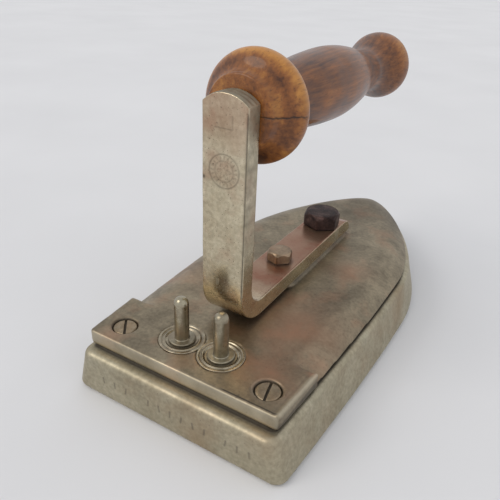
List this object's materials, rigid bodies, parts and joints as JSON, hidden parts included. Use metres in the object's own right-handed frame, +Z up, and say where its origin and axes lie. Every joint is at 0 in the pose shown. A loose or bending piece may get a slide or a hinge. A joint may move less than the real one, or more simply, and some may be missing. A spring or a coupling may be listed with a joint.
{
  "type": "flat iron",
  "caption": "Antique electric flat iron: pointed nickel plated sole and cover, two-pin inlet, L bracket and turned wooden grip.",
  "frame": {"origin": "centre of the sole's underside, on the floor", "axes": "+Z up, +Y from the square heel towards the pointed toe, +X to the right seen from the heel"},
  "size_m": [0.1108, 0.2266, 0.1387],
  "materials": {
    "sole_nickel": "aged nickel plate over cast iron, dull grey green",
    "cover_nickel": "worn nickel plate with copper brown patches",
    "bracket_nickel": "polished nickel plate, yellowed and pitted",
    "pin_nickel": "nickel plated brass, polished",
    "washer_nickel": "nickel plated brass, dished",
    "screw_nickel": "nickel plated steel, tarnished",
    "insulating_bush": "glazed steatite, yellowed",
    "small_bolt": "tarnished brass with nickel left on its edges",
    "blackened_bolt": "blackened and rusted steel",
    "rod_steel": "nickel plated steel",
    "varnished_wood": "turned, orange brown varnish worn on the belly",
    "mica": "pressed mica",
    "insulating_board": "grey insulating board",
    "resistance_ribbon": "flat resistance alloy",
    "iron_plate": "raw casting",
    "terminal_brass": "plain brass"
  },
  "bodies": {
    "root": {"sole_plate": "sole_nickel", "cover_plate": "cover_nickel", "handle_bracket": "bracket_nickel", "lower_mica_sheet": "mica", "heater_core": "mica", "upper_mica_sheet": "mica", "insulating_board": "insulating_board", "resistance_ribbon": "resistance_ribbon", "pressure_plate": "iron_plate", "bracket_bolt_small": "small_bolt", "clamp_bolt_large": "blackened_bolt", "handle_rod": "rod_steel", "rod_end_washer": "rod_steel", "rod_end_nut": "rod_steel", "handle_grip": "varnished_wood", "terminal_pin_left": "pin_nickel", "dished_washer_left": "washer_nickel", "insulating_bush_left": "insulating_bush", "lower_washer_left": "mica", "connecting_strip_left": "terminal_brass", "terminal_nut_left": "terminal_brass", "cover_screw_left": "screw_nickel", "terminal_pin_right": "pin_nickel", "dished_washer_right": "washer_nickel", "insulating_bush_right": "insulating_bush", "lower_washer_right": "mica", "connecting_strip_right": "terminal_brass", "terminal_nut_right": "terminal_brass", "cover_screw_right": "screw_nickel"}
  },
  "joints": []
}
